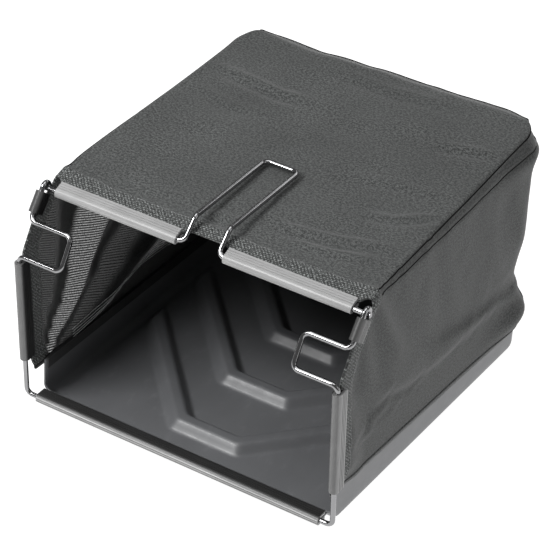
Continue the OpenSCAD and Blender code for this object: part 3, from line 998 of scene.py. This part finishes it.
def cut_roof(shell):
    roof = patch("bag_top_cloth", shell.points, shell.lid_faces(), ROOF_PLANE)
    modifier(roof, "SUBSURF", levels=2, render_levels=2)
    fold_roof(roof)
    modifier(roof, "SOLIDIFY", thickness=CLOTH_T, offset=-1)
    return finish_piece(roof, roof_cloth, ["bag_top"])


def cut_panels(shell):
    parts = {"roof": cut_roof(shell)}
    parts["left"] = sheet_piece("bag_left_cloth", shell, shell.wall_faces(shell.left()), SIDE_PLANE,
                                sheer_cloth, ["bag_left"], thick=0.4 * MM)
    mark_folds_and_shade(parts["left"])
    parts["back"] = sheet_piece("bag_back_cloth", shell, shell.wall_faces(shell.back()), BACK_PLANE,
                                shaded_back_cloth, ["bag_back"])
    parts["right"] = sheet_piece("bag_right_cloth", shell, shell.wall_faces(shell.right()), SIDE_PLANE,
                                 shaded_side_cloth, ["bag_right"])
    return parts


def cut_hems(shell):
    last = len(shell.edge) - 1
    parts = {"top_hem": sheet_piece("top_hem_band", shell, shell.lid_faces(range(HEM_ROWS)), ROOF_PLANE,
                                    hem_cloth, ["top_hem"], 0.5 * MM, 1.1 * MM)}
    for side, columns in (("left", range(HEM_ROWS)), ("right", range(last - HEM_ROWS, last))):
        faces = shell.wall_faces(columns, range(BAG_DEEP - 1))
        parts[side + "_hem"] = sheet_piece(side + "_hem_band", shell, faces, SIDE_PLANE,
                                           hem_cloth, [side + "_hem"], -0.2 * MM, 2.4 * MM)
    return parts


def cut_bindings(shell):
    foot = range(BAG_DEEP - 1, BAG_DEEP)
    walls = {
        "left_binding": (shell.left(), SIDE_PLANE),
        "back_binding": (shell.back(), BACK_PLANE),
        "right_binding": (shell.right(), SIDE_PLANE),
    }
    return {name: sheet_piece(name + "_band", shell, shell.wall_faces(columns, foot), plane,
                              tape_cloth, [name], 0.15 * MM, 0.9 * MM)
            for name, (columns, plane) in walls.items()}


def add_lines(shell):
    """The second line of the fold under each side's top seam, a dark cord that also stands for the crease's
    painted shade, and the light lines inside the left panel.
    """
    strips = {
        "left_strip": range(HEM_ROWS, shell.left().stop - 4),
        "right_strip": range(shell.right().start + 4, len(shell.edge) - 1 - HEM_ROWS),
    }
    for name, columns in strips.items():
        # dark cord at the fold: stitching, and painted crease shade
        sewn_line(name + "_line", [strip_point(shell, c) for c in columns], 0.7 * MM, fold_thread_and_crease_shade)
    lines = [cord_path(shell, shell.left(), k * 3.4 * MM) for k in range(4)]
    tubes = [tube_rings(refine(line), 0.4 * MM, 6) for line in lines]
    finish_piece(mesh_object("left_stitch_lines", *joined(tubes)), light_thread)


def add_seams(shell):
    left, back, right = shell.left(), shell.back(), shell.right()
    seams = {
        "left_top_seam": [shell.wall(c, 0) for c in range(HEM_ROWS, left.stop + 1)],
        "back_top_seam": [shell.wall(c, 0) for c in range(back.start, back.stop + 1)],
        "right_top_seam": [shell.wall(c, 0) for c in range(right.start, right.stop - HEM_ROWS + 1)],
        "left_back_seam": [shell.wall(left.stop, w) for w in range(BAG_DEEP + 1)],
        "right_back_seam": [shell.wall(right.start, w) for w in range(BAG_DEEP + 1)],
    }
    for name, line in seams.items():
        path = [shell.points[v] + shell.normals[v] * 0.1 * MM for v in line]
        # the seam's cord: stitching, with painted groove shade in its near-black colour
        sewn_line(name + "_line", path, 0.9 * MM, dark_thread_and_groove_shade, [name])


def cut_bag(shell):
    """Cuts the settled shell into its panels, hems and bindings, and adds its sewn lines."""
    shell.normals = shell_normals(shell)
    parts = {**cut_panels(shell), **cut_hems(shell), **cut_bindings(shell)}
    add_lines(shell)
    add_seams(shell)
    return parts


def declare_cloth(parts, shell):
    """Works out the lengths each sheet was cut to, from the bag's own points; nothing is done with them."""
    def run(line):
        return sum((shell.points[a] - shell.points[b]).length for a, b in zip(line, line[1:]))

    left, back = shell.left(), shell.back()
    roof_long = run([shell.lid(shell.nu // 2, j) for j in range(shell.nv + 1)])
    side_long = run([shell.wall(c, 12) for c in range(left.stop + 1)])
    side_high = run([shell.wall(left.stop // 2, w) for w in range(shell.nw + 1)])
    back_wide = run([shell.wall(c, 0) for c in range(back.start, back.stop + 1)])


# ------------------------------------------------------------------ carried-over CAD nodes
def dress_nodes():
    """Materials for the clip profiles, the wires and the wall strips, and small edge rounds for the clips and
    strips.
    """
    def dress(name, material, width=0.0):
        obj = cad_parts[name]
        obj.data.materials.clear()
        obj.data.materials.append(material)
        if width:
            modifier(obj, "BEVEL", width=width, segments=2, limit_method="ANGLE",
                     angle_limit=math.radians(40))

    dress("frame_wire", dark_wire)
    dress("handle_wire", dark_wire)
    dress("bottom_profile", clip_bottom, 0.15 * MM)
    for side in ("left", "right"):
        dress(side + "_top_profile", clip_top, 0.15 * MM)
        dress(side + "_lower_profile", clip_lower, 0.15 * MM)
        dress(side + "_upper_profile", clip_upper, 0.15 * MM)
    for name in ("left_wall_strip", "right_wall_strip", "back_wall_strip"):
        dress(name, strip_plastic, 0.2 * MM)


# ------------------------------------------------------------------ studio
def area_light(name, place, target, size, energy):
    """A soft box at a place, turned to its target. Sizes are in metres and energy is in watts."""
    lamp = bpy.data.lights.new(name, "AREA")
    lamp.shape = "RECTANGLE"
    lamp.size, lamp.size_y = size
    lamp.energy = energy
    obj = bpy.data.objects.new(name, lamp)
    obj.location = place
    obj.rotation_euler = (Vector(target) - Vector(place)).to_track_quat("-Z", "Y").to_euler()
    bpy.context.scene.collection.objects.link(obj)


def build_floor():
    mesh = bmesh.new()
    bmesh.ops.create_grid(mesh, x_segments=8, y_segments=8, size=6.0)
    data = bpy.data.meshes.new("floor")
    mesh.to_mesh(data)
    mesh.free()
    floor = bpy.data.objects.new("floor", data)
    floor.location.z = -0.2 * MM
    bpy.context.scene.collection.objects.link(floor)
    paper = bpy.data.materials.new("pale_floor")
    paper.use_nodes = True
    shader = paper.node_tree.nodes["Principled BSDF"]
    shader.inputs["Base Color"].default_value = (0.3, 0.3, 0.3, 1)
    shader.inputs["Roughness"].default_value = 0.9
    shader.inputs["Emission Color"].default_value = (1, 1, 1, 1)
    shader.inputs["Emission Strength"].default_value = 0.97
    data.materials.append(paper)


def build_studio():
    """A dim grey world, a pale floor that shines by itself, and four soft lights."""
    scene = bpy.context.scene
    scene.view_settings.view_transform = "Standard"
    world = bpy.data.worlds.new("studio")
    scene.world = world
    world.use_nodes = True
    world.node_tree.nodes["Background"].inputs["Color"].default_value = (0.5, 0.5, 0.5, 1)
    world.node_tree.nodes["Background"].inputs["Strength"].default_value = 0.3
    build_floor()
    area_light("top_box", (0.0, -0.15, 1.7), (0, -0.1, 0.2), (1.3, 1.0), 10)
    area_light("front_box", (-0.68, -1.35, 1.62), (0, -0.05, 0.12), (0.8, 0.6), 36)
    area_light("back_box", (0.1, 1.6, 1.5), (0, 0, 0.25), (1.8, 0.5), 5)
    area_light("right_box", (1.6, 0.1, 0.9), (0.1, 0, 0.15), (0.6, 1.0), 2.4)


def build_camera():
    """Where the object is looked at from: azimuth, elevation, roll, distance and the point looked at."""
    azimuth, elevation, roll = math.radians(29.73), math.radians(34.13), math.radians(3.77)
    target = Vector((9.2, -53.6, 163.4)) * MM
    away = Vector((math.sin(azimuth) * math.cos(elevation), -math.cos(azimuth) * math.cos(elevation),
                   math.sin(elevation)))
    right = Vector((math.cos(azimuth), math.sin(azimuth), 0))
    up = away.cross(right)
    right, up = (right * math.cos(roll) + up * math.sin(roll), up * math.cos(roll) - right * math.sin(roll))
    camera = bpy.data.cameras.new("camera")
    camera.lens = 159.85
    camera.sensor_width = 36
    obj = bpy.data.objects.new("camera", camera)
    turn = Matrix((right, up, away)).transposed().to_4x4()
    obj.matrix_world = Matrix.Translation(target + away * 2.8) @ turn
    bpy.context.scene.collection.objects.link(obj)
    bpy.context.scene.camera = obj


build_camera()
build_studio()
build_tray()
bag = build_bag()
declare_cloth(cut_bag(bag), bag)
dress_nodes()
